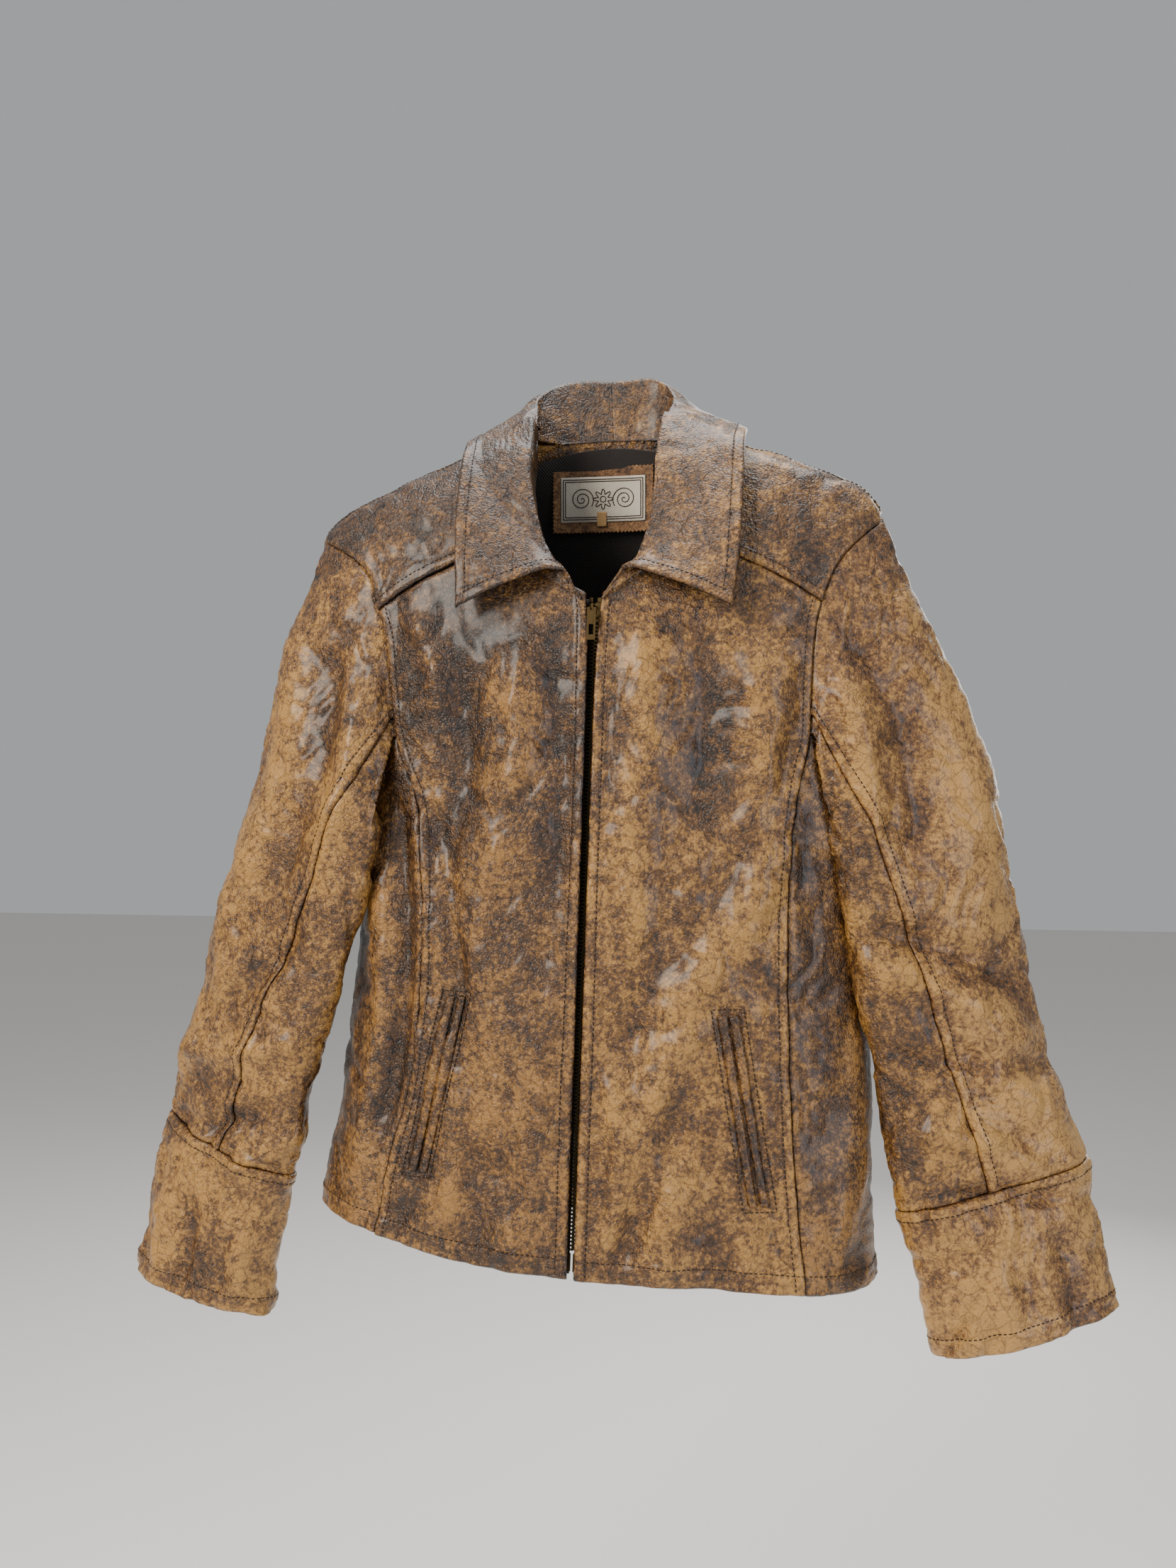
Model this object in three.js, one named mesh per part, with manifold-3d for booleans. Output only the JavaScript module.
// A hip-length leather jacket with a pointed collar and a front zip, hanging closed.
// Millimetres. +X is the wearer's left, -Y is the front, +Z is up. The origin is the middle of the neck,
// level with the tops of the shoulders. Every panel is a thin closed sheet that follows one shared body
// or sleeve form.
import * as THREE from "three";
import Module from "manifold-3d";
import { mergeVertices } from "three/addons/utils/BufferGeometryUtils.js";

// ---- Thicknesses, and depths below the outer leather surface ----
const LEATHER = 2;
const LINING = 0.8;
const SEAM_GAP = 1;
const RIDGE_GAP = 2;
const LINING_DEPTH = 4.4;
const FRONT_LINING_DEPTH = 13.2;
const FACING_DEPTH = 14;
const SLEEVE_LINING_DEPTH = 7;

// ---- Body form: a superellipse at every height ----
const ROUNDNESS = 2.4;
const ZIP_TOP = -133;
const HEM_MIDDLE = -650;
const YOKE_BACK = -150;
const ARMHOLE_BOTTOM = -262;
const ARMHOLE_CORNER = -240;
const YOKE_CORNER = -141;

// ---- Zip ----
const CHAIN_DEPTH = 8;
const TOOTH_PITCH = 14;
const PULL_LENGTH = 24;
const BRIDGE_FRONT = -14.6;
const TAB_FRONT = -16.4;

const wasm = await Module();
wasm.setup();

// A smooth curve through [key, value] pairs, which never overshoots a pair.
function profile(pairs) {
  const slope = pairs.slice(1).map(([k, v], i) => (v - pairs[i][1]) / (k - pairs[i][0]));
  const tangent = pairs.map((_, i) => {
    if (i === 0) return slope[0];
    if (i === slope.length) return slope[i - 1];
    return slope[i - 1] * slope[i] <= 0 ? 0 : (2 * slope[i - 1] * slope[i]) / (slope[i - 1] + slope[i]);
  });
  return (key) => {
    const i = Math.max(0, Math.min(slope.length - 1, pairs.findIndex(([k]) => k > key) - 1));
    const at = key >= pairs[slope.length][0] ? slope.length - 1 : i;
    const [[k0, v0], [k1, v1]] = [pairs[at], pairs[at + 1]];
    const span = k1 - k0;
    const t = Math.max(0, Math.min(1, (key - k0) / span));
    const ease = t * t * (3 - 2 * t);
    return v0 + (v1 - v0) * ease + span * t * (1 - t) * ((1 - t) * tangent[at] - t * tangent[at + 1]);
  };
}

// ---- Profiles by height; side +1 is the wearer's left ----
const halfWidth = {
  1: profile([[-670, 216], [-520, 206], [-420, 198], [-330, 192], [-262, 195], [-200, 203], [-140, 212],
    [-100, 219],
    [-76, 222], [-54, 213], [-42, 200], [-30, 171], [-6, 106], [8, 75], [14, 66]]),
  "-1": profile([[-670, 236], [-617, 234], [-520, 215], [-420, 204], [-330, 198], [-262, 200], [-200, 208],
    [-140, 222], [-100, 232], [-76, 236], [-64, 229], [-52, 215], [-30, 165], [-7, 109], [8, 75],
    [14, 66]]),
};
const frontDepth = profile([[-650, 102], [ZIP_TOP, 70], [-104, 63], [-76, 54], [-30, 36], [-6, 22],
  [14, 10]]);
const backDepth = profile([[-650, 78], [-400, 75], [-240, 72], [-140, 66], [-76, 58], [-30, 50], [14, 44]]);
const hemHeight = profile([[-236, -616], [-165, -630], [-69, -646], [-10, HEM_MIDDLE], [93, -654],
  [215, -666]]);
const zipX = profile([[HEM_MIDDLE, -10], [ZIP_TOP, 3]]);
const princess = {
  1: profile([[-660, 163], [-542, 154], [-400, 150], [-320, 153], [-281, 159], [ARMHOLE_CORNER, 167],
    [-203, 168],
    [-159, 171], [-132, 178], [-111, 187], [-94, 200], [-75, 220]]),
  "-1": profile([[-632, 169], [-574, 159], [-499, 140], [-400, 132], [-298, 141], [ARMHOLE_CORNER, 160],
    [-203, 165], [-165, 169], [-135, 178], [-114, 184], [-98, 199], [-77, 234]]),
};
const neckX = profile([[ZIP_TOP, 7], [-124, 22], [-111, 41], [-83, 63], [-50, 74], [-20, 77], [6, 77]]);
const yokeSeam = profile([[63, -83], [113, -105], [156, -126], [178, -141]]);

const span = (a, b, t) => a + (b - a) * t;
const root = (share) => Math.max(0, 1 - share ** ROUNDNESS) ** (1 / ROUNDNESS);
const sideOf = (x) => (x < 0 ? -1 : 1);
const frontY = (x, z) => -frontDepth(z) * root(Math.abs(x) / halfWidth[sideOf(x)](z));
const backY = (x, z) => backDepth(z) * root(Math.abs(x) / halfWidth[sideOf(x)](z));
const onFront = (x, z) => new THREE.Vector3(x, frontY(x, z), z);
const onBack = (x, z) => new THREE.Vector3(x, backY(x, z), z);

// The point at an angle round the body: 0 is the middle of the front, 90 degrees the side.
function roundBody(side, angle, z) {
  const across = Math.abs(Math.sin(angle)) ** (2 / ROUNDNESS);
  const along = Math.abs(Math.cos(angle)) ** (2 / ROUNDNESS);
  const depth = Math.cos(angle) > 0 ? -frontDepth(z) : backDepth(z);
  return new THREE.Vector3(side * halfWidth[side](z) * across, depth * along, z);
}
const angleAt = (side, x, z) => Math.asin((x / halfWidth[side](z)) ** (ROUNDNESS / 2));

// The height of the shoulder ridge at x, where the front and back sheets meet.
function ridge(x) {
  let [low, high] = [-76, 14];
  for (let i = 0; i < 30; i++) {
    const middle = (low + high) / 2;
    if (halfWidth[sideOf(x)](middle) > Math.abs(x)) low = middle;
    else high = middle;
  }
  return low;
}

// ---- Sheets ----
const jacket = new THREE.Group();

function addMesh(name, geometry, finish, group = jacket) {
  const mesh = new THREE.Mesh(geometry, new THREE.MeshStandardMaterial(finish));
  mesh.name = name;
  group.add(mesh);
  return mesh;
}

// Turns a triangle list into a geometry whose faces point outwards.
function closedGeometry(points, triangles) {
  let volume = 0;
  for (const [a, b, c] of triangles) volume += points[a].dot(points[b].clone().cross(points[c]));
  const faced = volume < 0 ? triangles.map(([a, b, c]) => [a, c, b]) : triangles;
  const geometry = new THREE.BufferGeometry().setFromPoints(points);
  geometry.setIndex(faced.flat());
  geometry.computeVertexNormals();
  return geometry;
}

// A closed sheet: at(u, v) is the outer surface, and from and to are depths below it, away from
// outward(point).
function sheet(at, outward, columns, rows, from, to, ring = false) {
  const step = 1e-3;
  const normalAt = (u, v) => {
    const [u0, u1] = ring ? [u - step, u + step] : [Math.max(0, u - step), Math.min(1, u + step)];
    const [v0, v1] = [Math.max(0, v - step), Math.min(1, v + step)];
    return at(u1, v).sub(at(u0, v)).cross(at(u, v1).sub(at(u, v0))).normalize();
  };
  const sign = normalAt(0.5, 0.5).dot(outward(at(0.5, 0.5))) > 0 ? 1 : -1;
  const wide = ring ? columns : columns + 1;
  const points = [];
  for (const depth of [from, to]) {
    for (let j = 0; j <= rows; j++) {
      for (let i = 0; i < wide; i++) {
        const [u, v] = [i / columns, j / rows];
        points.push(at(u, v).addScaledVector(normalAt(u, v), -sign * depth));
      }
    }
  }
  const layer = wide * (rows + 1);
  const index = (i, j, back) => back * layer + j * wide + (i % wide);
  const triangles = [];
  const quad = (a, b, c, d) => triangles.push([a, b, c], [a, c, d]);
  for (let j = 0; j < rows; j++) {
    for (let i = 0; i < columns; i++) {
      quad(index(i, j, 0), index(i + 1, j, 0), index(i + 1, j + 1, 0), index(i, j + 1, 0));
      quad(index(i, j, 1), index(i, j + 1, 1), index(i + 1, j + 1, 1), index(i + 1, j, 1));
    }
  }
  for (let i = 0; i < columns; i++) {
    quad(index(i, 0, 1), index(i + 1, 0, 1), index(i + 1, 0, 0), index(i, 0, 0));
    quad(index(i, rows, 0), index(i + 1, rows, 0), index(i + 1, rows, 1), index(i, rows, 1));
  }
  for (let j = 0; j < rows && !ring; j++) {
    quad(index(0, j, 0), index(0, j + 1, 0), index(0, j + 1, 1), index(0, j, 1));
    quad(index(columns, j, 1), index(columns, j + 1, 1), index(columns, j + 1, 0), index(columns, j, 0));
  }
  return closedGeometry(points, triangles);
}

const awayFromSpine = (p) => new THREE.Vector3(p.x, p.y, 0);

const LEATHER_LOOK = { color: "#8a5f34", roughness: 0.5, metalness: 0 };
const LINING_LOOK = { color: "#241a16", roughness: 0.4, metalness: 0 };
const METAL_LOOK = { color: "#6f6046", roughness: 0.35, metalness: 1 };
const TAPE_LOOK = { color: "#17120f", roughness: 0.8, metalness: 0 };
const SIDES = [[1, "left"], [-1, "right"]];

// ---- Fronts ----
const neckHeight = profile([[7, ZIP_TOP], [22, -124], [41, -111], [63, -83]]);
const frontTop = (x) => (x < 63 ? neckHeight(Math.max(7, x)) : yokeSeam(x)) - SEAM_GAP;
const PLACKET_HALF_GAP = profile([[-650, 2.4], [-230, 2.4], [ZIP_TOP, 6]]);

function frontSheet(side, depthFrom, depthTo, innerInset, outerInset, lowInset, columns, rows) {
  const inner = (z) => side * zipX(z) + PLACKET_HALF_GAP(z) + innerInset;
  const outer = (z) => princess[side](Math.min(z, YOKE_CORNER)) - outerInset;
  const at = (u, v) => {
    const high = frontTop(span(9 + innerInset, outer(0), u)) - lowInset * 0.3;
    const low = hemHeight(side * span(8 + innerInset, 160, u)) + lowInset;
    const z = span(low, high, v);
    return onFront(side * span(inner(z), outer(z), u), z);
  };
  return sheet(at, awayFromSpine, columns, rows, depthFrom, depthTo);
}

// A pocket's centre line, top to bottom, in side * x and z.
const POCKET = { 1: [[107, -452], [130, -593]], "-1": [[103, -443], [133, -578]] };
const POCKET_SLOT = 17;
const WELT_SLIT = 1.2;

function pocketLine(side, t) {
  const [[x0, z0], [x1, z1]] = POCKET[side];
  return [span(x0, x1, t), span(z0, z1, t)];
}

function solidFrom(geometry) {
  const bare = new THREE.BufferGeometry();
  bare.setAttribute("position", geometry.getAttribute("position").clone());
  if (geometry.index) bare.setIndex(geometry.index.clone());
  const merged = mergeVertices(bare, 1e-4);
  const triVerts = new Uint32Array(merged.index.array);
  return new wasm.Manifold(new wasm.Mesh({ numProp: 3, vertProperties: merged.attributes.position.array,
    triVerts }));
}

function geometryFrom(solid) {
  const mesh = solid.getMesh();
  const geometry = new THREE.BufferGeometry();
  geometry.setAttribute("position", new THREE.BufferAttribute(new Float32Array(mesh.vertProperties), 3));
  geometry.setIndex(new THREE.BufferAttribute(new Uint32Array(mesh.triVerts), 1));
  geometry.computeVertexNormals();
  return geometry;
}

// The upright prism that cuts the pocket's slot through the front.
function slotPrism(side) {
  const [[x0, z0], [x1, z1]] = POCKET[side];
  const box = new THREE.BoxGeometry(POCKET_SLOT + 1, 90, Math.hypot(x1 - x0, z1 - z0) + 5);
  box.rotateY(side * -Math.atan2(x1 - x0, z0 - z1));
  box.translate((side * (x0 + x1)) / 2, -85, (z0 + z1) / 2);
  return solidFrom(box);
}

for (const [side, name] of SIDES) {
  const panel = solidFrom(frontSheet(side, 0, LEATHER, 0, 2 * SEAM_GAP, 0, 8, 12));
  addMesh(`front_panel_${name}`, geometryFrom(panel.subtract(slotPrism(side))), LEATHER_LOOK);
  const lining = frontSheet(side, FRONT_LINING_DEPTH, FRONT_LINING_DEPTH + LINING, 52, 14, 20, 4, 8);
  addMesh(`front_lining_${name}`, lining, LINING_LOOK);

  // The facing is the leather strip inside the zip edge.
  const facingAt = (u, v) => {
    const z = span(hemHeight(side * 30) + 3, ZIP_TOP - 6, v);
    return onFront(side * (side * zipX(z) + span(5, 50, u)), z);
  };
  addMesh(`front_facing_${name}`, sheet(facingAt, awayFromSpine, 3, 12, FACING_DEPTH,
    FACING_DEPTH + LEATHER),
    LEATHER_LOOK);

  // Two welts fill the pocket's slot and leave a narrow slit between them.
  for (const [inward, part] of [[-1, "front"], [1, "back"]]) {
    const weltAt = (u, v) => {
      const [x, z] = pocketLine(side, 0.002 + 0.996 * v);
      return onFront(side * (x + inward * span(WELT_SLIT / 2, POCKET_SLOT / 2 - 0.9, u)), z);
    };
    addMesh(`pocket_welt_${part}_${name}`, sheet(weltAt, awayFromSpine, 1, 6, -0.6, LEATHER - 0.4),
      LEATHER_LOOK);
  }
  // The bag is one flat folded cloth behind the slot.
  const bagAt = (u, v) => {
    const [x, z] = pocketLine(side, 1.12 * v);
    return onFront(side * (x + span(12, -50, u)), z);
  };
  addMesh(`pocket_bag_${name}`, sheet(bagAt, awayFromSpine, 4, 6, 4.2, 6), LINING_LOOK);
}

// ---- Yokes ----
const lift = (v) => Math.sin((v * Math.PI) / 2);

for (const [side, name] of SIDES) {
  const tip = side > 0 ? 218 : 231;
  const heightAt = (xLow, xHigh, v) => span(yokeSeam(xLow) + SEAM_GAP, ridge(side * xHigh) - 0.3, lift(v));
  const yokeAt = (u, v) => {
    const z = heightAt(span(63, 176, u), span(77, tip, u), v);
    const neckEdge = neckX(heightAt(63, 77, v));
    const armEdge = princess[side](heightAt(176, tip, v)) - 2 * SEAM_GAP;
    const x = span(neckEdge, armEdge, u);
    return new THREE.Vector3(side * x, Math.min(frontY(side * x, z), -RIDGE_GAP), z);
  };
  addMesh(`front_yoke_${name}`, sheet(yokeAt, awayFromSpine, 7, 5, 0, LEATHER), LEATHER_LOOK);
}

const backNeck = (x) => 12 - 5 * (x / 77) ** 2;
function backYokeAt(u, v) {
  const side = u < 0.5 ? -1 : 1;
  const across = Math.abs(2 * u - 1);
  const tip = side > 0 ? 218 : 231;
  const xHigh = across * tip;
  const high = xHigh < 77 ? backNeck(xHigh) : ridge(side * xHigh);
  const z = span(YOKE_BACK + SEAM_GAP, high - 0.3, lift(v));
  const edge = princess[side](span(YOKE_BACK, ridge(side * tip), lift(v))) - 2 * SEAM_GAP;
  const x = side * across * edge;
  return new THREE.Vector3(x, Math.max(backY(x, z), RIDGE_GAP), z);
}
addMesh("back_yoke", sheet(backYokeAt, awayFromSpine, 14, 5, 0, LEATHER), LEATHER_LOOK);

// ---- Back and sides ----
function backSheet(from, to, inset, low, high, columns, rows) {
  const at = (u, v) => {
    const side = u < 0.5 ? -1 : 1;
    const across = Math.abs(2 * u - 1);
    const z = span(hemHeight(side * across * 160) + low, high(across), v);
    return onBack(side * across * (princess[side](z) - inset), z);
  };
  return sheet(at, awayFromSpine, columns, rows, from, to);
}
addMesh("back_panel", backSheet(0, LEATHER, 2.5 * SEAM_GAP, 0, () => YOKE_BACK - SEAM_GAP, 10, 9),
  LEATHER_LOOK);
const liningTop = (across) => -16 - 84 * across ** 2;
addMesh("back_lining", backSheet(LINING_DEPTH, LINING_DEPTH + LINING, 14, 20, liningTop, 8, 8),
  LINING_LOOK);

function sideSheet(side, from, to, inset, low, columns, rows) {
  const at = (u, v) => {
    const bottomX = side * span(165, 215, Math.sin(u * Math.PI));
    const top = ARMHOLE_CORNER - 3 - (ARMHOLE_CORNER - ARMHOLE_BOTTOM) * Math.sin(u * Math.PI) - low * 0.3;
    const z = span(hemHeight(bottomX) + low, top, v);
    const edge = angleAt(side, princess[side](z) + inset, z);
    return roundBody(side, span(edge, Math.PI - edge, u), z);
  };
  return sheet(at, awayFromSpine, columns, rows, from, to);
}
for (const [side, name] of SIDES) {
  addMesh(`side_panel_${name}`, sideSheet(side, 0, LEATHER, SEAM_GAP, 0, 9, 9), LEATHER_LOOK);
  addMesh(`side_lining_${name}`, sideSheet(side, LINING_DEPTH, LINING_DEPTH + LINING, 4, 20, 8, 6),
    LINING_LOOK);
}

// ---- Collar: three lines from the middle of the back (0) round to the front end (1) ----
const line = (rows) => {
  const curve = new THREE.CatmullRomCurve3(rows.map((r) => new THREE.Vector3(...r)));
  return (t) => curve.getPoint(Math.max(0, Math.min(1, t)));
};
const NECK_LINE = {
  1: line([[0, 45, 16], [38, 40, 15], [57, 22, 15], [67, 0, 13], [73, -27, -17], [70, -46, -47],
    [60, -60, -79],
    [40, -69, -107], [9, -73, -129]]),
  "-1": line([[0, 45, 16], [-38, 40, 15], [-56, 22, 15], [-66, 0, 13], [-73, -27, -17], [-70, -46, -47],
    [-60, -60, -79], [-40, -69, -107], [-6, -73, -129]]),
};
const ROLL_LINE = {
  1: line([[-3, 54, 64], [36, 51, 63], [52, 34, 44], [49, 8, 22], [45, -16, -14], [44, -34, -50],
    [42, -52, -84],
    [35, -66, -105], [25, -77, -114]]),
  "-1": line([[-3, 54, 64], [-42, 51, 64], [-61, 36, 50], [-57, 8, 24], [-53, -14, -20], [-51, -32, -48],
    [-43, -50, -76], [-32, -64, -99], [-20, -76, -114]]),
};
const LEAF_EDGE = {
  1: line([[0, 64, -2], [48, 60, -3], [90, 40, -1], [109, 7, 3], [111, -28, -14], [112, -50, -48],
    [112, -65, -82],
    [111, -74, -115], [107, -83, -149]]),
  "-1": line([[0, 64, -2], [-50, 60, -3], [-92, 40, -1], [-108, 7, 3], [-106, -28, -14], [-105, -50, -48],
    [-104, -64, -80], [-102, -74, -113], [-99, -83, -146]]),
};
const SHOULDER_SPLIT = 0.375;
const LEAF_BULGE = 4;
const LEAF_RISE = 6.5;
const LEAF_CLEARANCE = 6;
const STAND_SHARE = 0.66;

// Whether a point is inside the body form grown by a margin.
function insideBody(point, margin) {
  const wide = halfWidth[sideOf(point.x)](point.z - margin) + margin;
  const deep = (point.y < 0 ? frontDepth(point.z - margin) : backDepth(point.z - margin)) + margin;
  const level = (Math.abs(point.x) / wide) ** ROUNDNESS + (Math.abs(point.y) / deep) ** ROUNDNESS;
  return level < 1 && point.z < 14 + margin;
}

function collarLeafAt(side, t, w) {
  const point = ROLL_LINE[side](t).lerp(LEAF_EDGE[side](t), w);
  const away = new THREE.Vector3(point.x * 0.5, point.y, 40).normalize();
  point.addScaledVector(away, LEAF_RISE + LEAF_BULGE * Math.sin(Math.PI * w));
  for (let i = 0; i < 30 && insideBody(point, LEAF_CLEARANCE); i++) {
    point.add(new THREE.Vector3(0, 0.7 * Math.sign(point.y), 0.7));
  }
  return point;
}
const collarStandAt = (side, t, w) => NECK_LINE[side](t).lerp(ROLL_LINE[side](t), w * STAND_SHARE);
const collarOut = (p) => new THREE.Vector3(p.x, p.y, 60);

for (const [side, name] of SIDES) {
  const t = (u) => span(SHOULDER_SPLIT + 0.02, 1, u);
  addMesh(`collar_leaf_${name}`, sheet((u, w) => collarLeafAt(side, t(u), w), collarOut, 9, 4, 0, LEATHER),
    LEATHER_LOOK);
  addMesh(`collar_stand_${name}`, sheet((u, w) => collarStandAt(side, t(u), w), awayFromSpine, 9, 2, 0,
    LEATHER),
    LEATHER_LOOK);
}
const acrossBack = (make) => (u, w) => {
  const share = Math.abs(2 * u - 1) * (SHOULDER_SPLIT - 0.02);
  return make(u < 0.5 ? -1 : 1, share, w);
};
addMesh("collar_leaf_back", sheet(acrossBack(collarLeafAt), collarOut, 12, 4, 0, LEATHER), LEATHER_LOOK);
addMesh("collar_stand_back", sheet(acrossBack(collarStandAt), awayFromSpine, 12, 2, 0, LEATHER),
  LEATHER_LOOK);

// ---- Label patch, label and size tab, hanging inside the back neck ----
const labelAt = (x0, x1, z0, z1, y) => (u, v) => {
  const [x, z] = [span(x0, x1, u), span(z0, z1, v)];
  return new THREE.Vector3(x, y - 0.0012 * (x + 8) ** 2, z);
};
const facingFront = () => new THREE.Vector3(0, -1, 0);
addMesh("label_patch", sheet(labelAt(-50, 34, -66, -12, 40), facingFront, 6, 2, 0, 1.6), LEATHER_LOOK);
addMesh("label", sheet(labelAt(-44, 28, -58, -20, 39), facingFront, 6, 2, 0, 0.7),
  { color: "#d8d2c4", roughness: 0.8, metalness: 0 });
addMesh("size_tab", sheet(labelAt(-13, -5, -62, -50, 38), facingFront, 1, 2, 0, 0.6),
  { color: "#c9a77a", roughness: 0.8, metalness: 0 });

// ---- Sleeves ----
// Each station is the middle of the sleeve, its half width and half depth, and how far its inner edge
// turns forward.
const SLEEVE_END = 1;
const STATIONS = {
  1: [[243, -8, -300, 71, 40, 22], [259, -8, -380, 70, 40, 20], [277, -8, -470, 71, 39, 18],
    [295, -8, -550, 74, 38, 16], [311, -8, -615, 74, 37, 14], [331, -8, -699, 74, 36, 12]],
  "-1": [[-236, -32, -296, 77, 38, 26], [-256, -28, -370, 75, 38, 24], [-282, -24, -450, 73, 38, 22],
    [-305, -20, -540, 72, 37, 20], [-323, -18, -606, 70, 36, 16], [-340, -16, -703, 69, 35, 12]],
};
const CAP_SHARE = 0.3;
const ARMHOLE_STEP = 4;
const CUFF_START = 0.8;
const SEAM_TURN = 0.016;
const ARMHOLE = {
  1: [[224, 0, -78], [188, -40, -111], [171, -52, -159], [169, -52, -215], [197, 0, -262], [169, 46, -215],
    [171, 46, -159], [188, 36, -111]],
  "-1": [[-238, 0, -79], [-188, -40, -112], [-171, -54, -159], [-164, -54, -215], [-202, 0, -262],
    [-164, 46, -215], [-171, 46, -159], [-188, 36, -112]],
};
const closedLoop = (rows) => new THREE.CatmullRomCurve3(rows.map((r) => new THREE.Vector3(...r)), true);
const armhole = { 1: closedLoop(ARMHOLE[1]), "-1": closedLoop(ARMHOLE[-1]) };
const stationProfiles = (side) => [0, 1, 2, 3, 4, 5].map((k) =>
  profile(STATIONS[side].map((row, i) => [i / (STATIONS[side].length - 1), row[k]])));
const stations = { 1: stationProfiles(1), "-1": stationProfiles(-1) };

// A point of the tube below the armhole; turn 0 is the outer edge, a quarter is the front.
function tubeAt(side, turn, t) {
  const [x, y, z, wide, deep, twist] = stations[side].map((f) => f(t));
  const lean = Math.atan2(stations[side][0](Math.min(1, t + 0.01)) - stations[side][0](
    Math.max(0, t - 0.01)),
    stations[side][2](Math.max(0, t - 0.01)) - stations[side][2](Math.min(1, t + 0.01)));
  const angle = turn * 2 * Math.PI;
  const [out, fore] = [wide * Math.cos(angle), deep * Math.sin(angle)];
  const sway = THREE.MathUtils.degToRad(twist);
  const acrossX = out * Math.cos(sway) - fore * Math.sin(sway) * 0.6;
  const acrossY = out * Math.sin(sway) - fore * Math.cos(sway);
  return new THREE.Vector3(x + side * acrossX * Math.cos(lean), y + acrossY,
    z + side * acrossX * Math.sin(lean));
}

// Pushes a point out of the body form, so that the sleeve lies beside the body.
function besideBody(point, margin) {
  const side = sideOf(point.x);
  const wide = halfWidth[side](point.z) + margin;
  const deep = (point.y < 0 ? frontDepth(point.z) : backDepth(point.z)) + margin;
  const level = (Math.abs(point.x) / wide) ** ROUNDNESS + (Math.abs(point.y) / deep) ** ROUNDNESS;
  if (level >= 1 || point.z > -76) return point;
  const grow = level ** (-1 / ROUNDNESS);
  return point.set(point.x * grow, point.y * grow, point.z);
}

function sleeveAt(side, turn, t) {
  const wrapped = turn - Math.floor(turn);
  if (t >= CAP_SHARE) return besideBody(tubeAt(side, wrapped, (t - CAP_SHARE) / (1 - CAP_SHARE)), 4);
  const share = t / CAP_SHARE;
  const start = armhole[side].getPoint(wrapped).add(new THREE.Vector3(side * ARMHOLE_STEP, 0, 0));
  const swell = 5 * Math.sin(Math.PI * share) * Math.sin(2 * Math.PI * wrapped);
  const mixed = start.lerp(tubeAt(side, wrapped, 0), share);
  mixed.y -= swell;
  return besideBody(mixed, 4);
}

const sleeveMiddle = (side, t) => {
  const [a, b] = [sleeveAt(side, 0, t), sleeveAt(side, 0.5, t)];
  return a.lerp(b, 0.5);
};
const FRONT_SEAM = profile([[0, 0.4], [0.3, 0.31], [0.6, 0.26], [1, 0.23]]);
const BACK_SEAM = profile([[0, 0.6], [0.3, 0.56], [1, 0.56]]);

for (const [side, name] of SIDES) {
  const outwardAt = (t) => (p) => p.clone().sub(sleeveMiddle(side, t));
  const part = (turn, low, high, columns, rows, from, to, ring) => {
    const at = (u, v) => sleeveAt(side, turn(u, span(low, high, v)), span(low, high, v));
    return sheet(at, outwardAt(span(low, high, 0.5)), columns, rows, from, to, ring);
  };
  const under = (u, t) => span(FRONT_SEAM(t) + SEAM_TURN, BACK_SEAM(t) - SEAM_TURN, u);
  const top = (u, t) => span(BACK_SEAM(t) + SEAM_TURN, FRONT_SEAM(t) + 1 - SEAM_TURN, u);
  const around = (u) => u;
  addMesh(`top_sleeve_${name}`, part(top, 0, CUFF_START - 0.002, 13, 9, 0, LEATHER), LEATHER_LOOK);
  addMesh(`under_sleeve_${name}`, part(under, 0.06, CUFF_START - 0.002, 6, 9, 0, LEATHER), LEATHER_LOOK);
  addMesh(`cuff_${name}`, part(around, CUFF_START + 0.002, SLEEVE_END, 18, 2, 0, LEATHER, true),
    LEATHER_LOOK);
  const lining = part(around, 0.24, 0.96, 16, 6, SLEEVE_LINING_DEPTH, SLEEVE_LINING_DEPTH + LINING, true);
  addMesh(`sleeve_lining_${name}`, lining, LINING_LOOK);
}

// ---- Zip: a straight chain in its own tilted frame, +Z up along the chain, -Y to the front ----
const chainTop = new THREE.Vector3(zipX(ZIP_TOP), -frontDepth(ZIP_TOP) + CHAIN_DEPTH, ZIP_TOP);
const chainBottom = new THREE.Vector3(zipX(HEM_MIDDLE), -frontDepth(HEM_MIDDLE) + CHAIN_DEPTH, HEM_MIDDLE);
const CHAIN = chainTop.distanceTo(chainBottom);
const up = chainTop.clone().sub(chainBottom).normalize();
const acrossChain = new THREE.Vector3(1, 0, 0).addScaledVector(up, -up.x).normalize();
const zip = new THREE.Group();
zip.applyMatrix4(new THREE.Matrix4().makeBasis(acrossChain, up.clone().cross(acrossChain), up));
zip.position.copy(chainTop);
jacket.add(zip);

// A flat piece from an outline of [x, z] points, between two depths; a negative depth is nearer the front.
function plate(outline, from, to) {
  const shape = new THREE.Shape(outline.map(([x, z]) => new THREE.Vector2(x, z)));
  const geometry = new THREE.ExtrudeGeometry(shape, { depth: to - from, bevelEnabled: false });
  geometry.rotateX(Math.PI / 2);
  geometry.translate(0, to, 0);
  return geometry;
}
const box = (x0, x1, y0, y1, z0, z1) =>
  new THREE.BoxGeometry(x1 - x0, y1 - y0, z1 - z0).translate((x0 + x1) / 2, (y0 + y1) / 2, (z0 + z1) / 2);
const joined = (...geometries) => geometryFrom(geometries.map(solidFrom).reduce((a, b) => a.add(b)));

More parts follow.
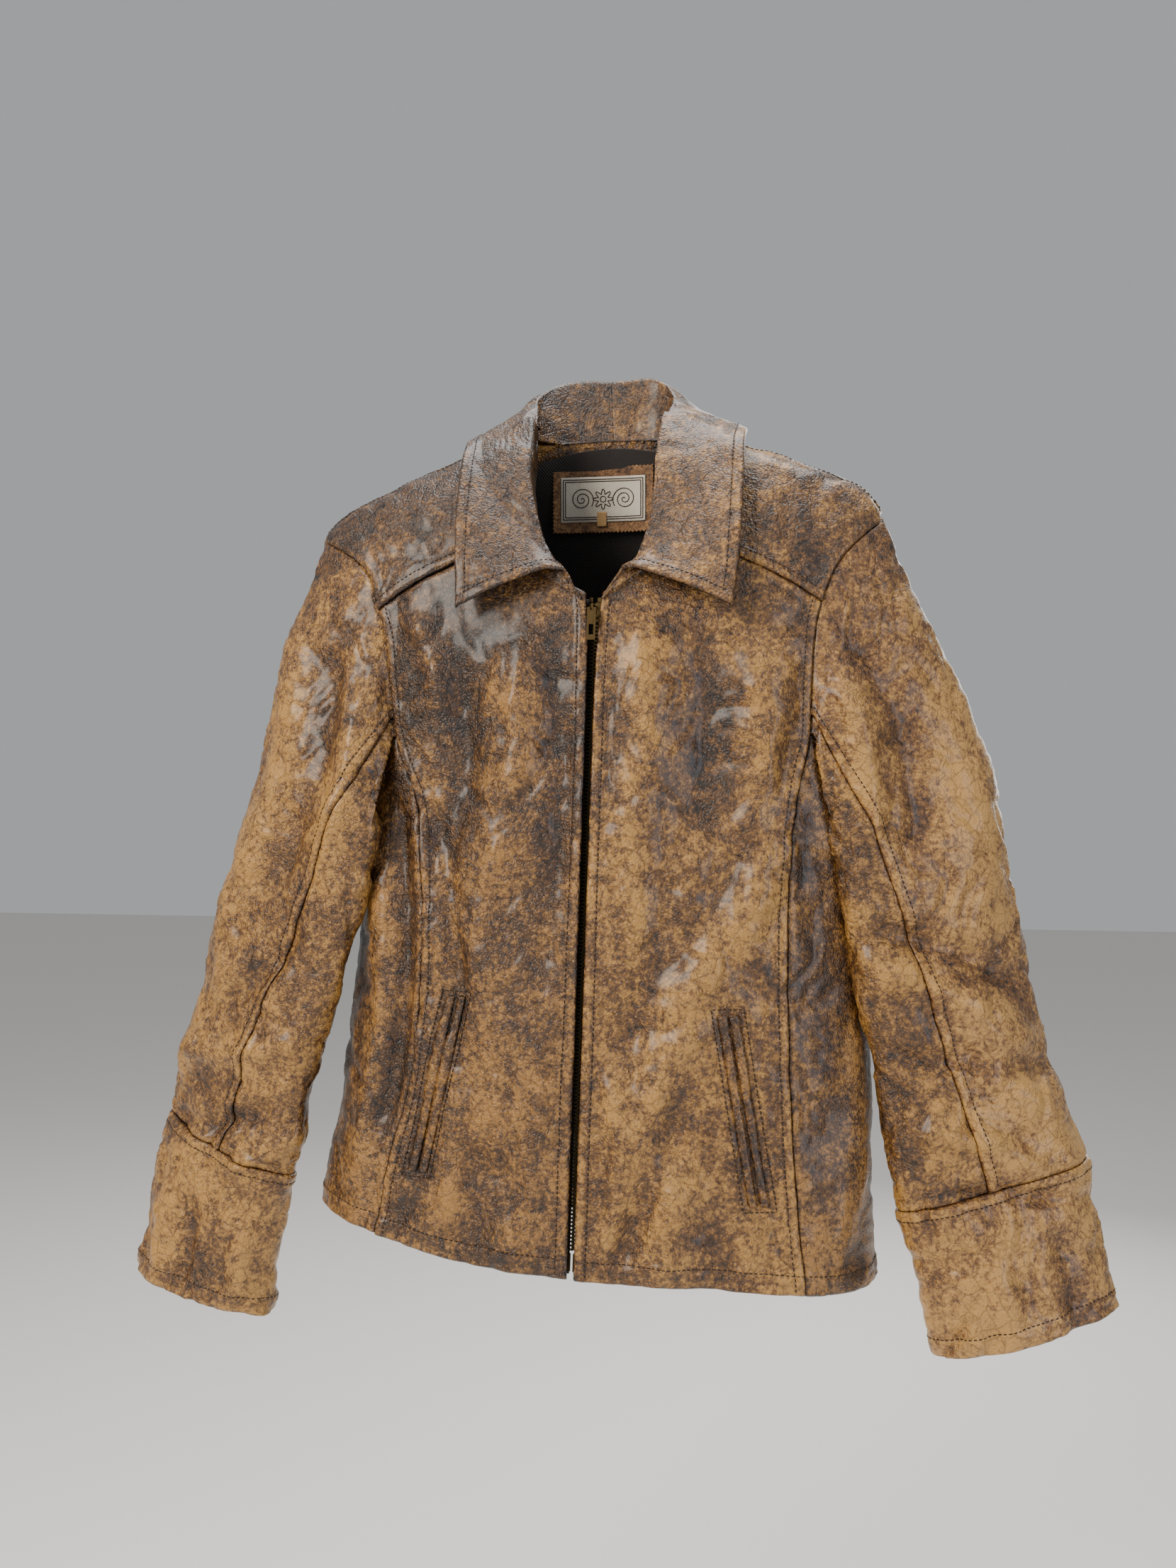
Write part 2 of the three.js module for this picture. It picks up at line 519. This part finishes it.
const SLIDER = { half: 4.7, long: 14, plate: 1.3, gap: 3.4 };
const TOOTH = { reach: 1.6, root: 1.9, tall: 3.2, thick: 2.4 };
const CHAIN_END = 22;
for (const [side, name] of SIDES) {
  const outline = [[side * 4.6, -6], [side * TOOTH.root, -6]];
  const shift = side > 0 ? 0 : TOOTH_PITCH / 2;
  for (let z = -SLIDER.long - 8 - shift; z > -CHAIN + CHAIN_END; z -= TOOTH_PITCH) {
    outline.push([side * TOOTH.root, z], [-side * TOOTH.reach, z]);
    outline.push([-side * TOOTH.reach, z - TOOTH.tall], [side * TOOTH.root, z - TOOTH.tall]);
  }
  outline.push([side * TOOTH.root, -CHAIN + CHAIN_END - 4], [side * 4.6, -CHAIN + CHAIN_END - 4]);
  addMesh(`zip_teeth_${name}`, plate(outline, -TOOTH.thick / 2, TOOTH.thick / 2), METAL_LOOK, zip);
  const [near, far] = side > 0 ? [5, 19] : [-19, -5];
  addMesh(`zip_tape_${name}`, box(near, far, -0.4, 0.4, -CHAIN + 2, -3), TAPE_LOOK, zip);
  const [stopNear, stopFar] = side > 0 ? [1.9, 4.6] : [-4.6, -1.9];
  addMesh(`top_stop_${name}`, box(stopNear, stopFar, -1.5, 1.5, -5.4, -2), METAL_LOOK, zip);
}
addMesh("zip_retainer_box", box(0.6, 4.8, -2.4, 2.4, -CHAIN + 4, -CHAIN + CHAIN_END - 5), METAL_LOOK, zip);
addMesh("zip_pin", box(-3.4, -1.4, -1.2, 1.2, -CHAIN + 4, -CHAIN + CHAIN_END - 5), METAL_LOOK, zip);

// The slider is two plates on a post, with a bridge in front that holds the pull tab.
const plateOutline = [[-3.4, -7 - SLIDER.long], [3.4, -7 - SLIDER.long], [SLIDER.half, -15],
  [SLIDER.half, -8],
  [3, -7], [-3, -7], [-SLIDER.half, -8], [-SLIDER.half, -15]];
const inFront = -SLIDER.gap / 2;
const slider = joined(
  plate(plateOutline, inFront - SLIDER.plate, inFront),
  plate(plateOutline, -inFront, -inFront + SLIDER.plate),
  box(-1, 1, inFront - 0.1, -inFront + 0.1, -10.5, -8),
  box(-0.8, 0.8, BRIDGE_FRONT + 0.6, inFront - 0.4, -10, -8.6),
  box(-0.8, 0.8, BRIDGE_FRONT + 0.6, inFront - 0.4, -18, -16.6),
  box(-0.8, 0.8, BRIDGE_FRONT, BRIDGE_FRONT + 1.2, -18, -8.6),
);
addMesh("zip_slider", slider, METAL_LOOK, zip);

// The pull tab hangs on the bridge by a square eye, with a window near its lower end.
const PULL_EYE = -13;
const eyeBack = BRIDGE_FRONT + 2.8;
const tabLow = PULL_EYE - PULL_LENGTH;
const tab = solidFrom(box(-3.4, 3.4, TAB_FRONT, TAB_FRONT + 1.1, tabLow, PULL_EYE - 1.2))
  .add(solidFrom(box(-3.4, -1.3, TAB_FRONT, eyeBack, PULL_EYE - 3, PULL_EYE + 1)))
  .add(solidFrom(box(1.3, 3.4, TAB_FRONT, eyeBack, PULL_EYE - 3, PULL_EYE + 1)))
  .add(solidFrom(box(-3.4, 3.4, eyeBack - 1, eyeBack, PULL_EYE - 1, PULL_EYE + 1)))
  .subtract(solidFrom(box(-1.8, 1.8, TAB_FRONT - 1, TAB_FRONT + 2, tabLow + 4, tabLow + 12)));
addMesh("pull_tab", geometryFrom(tab), METAL_LOOK, zip);

export default jacket;
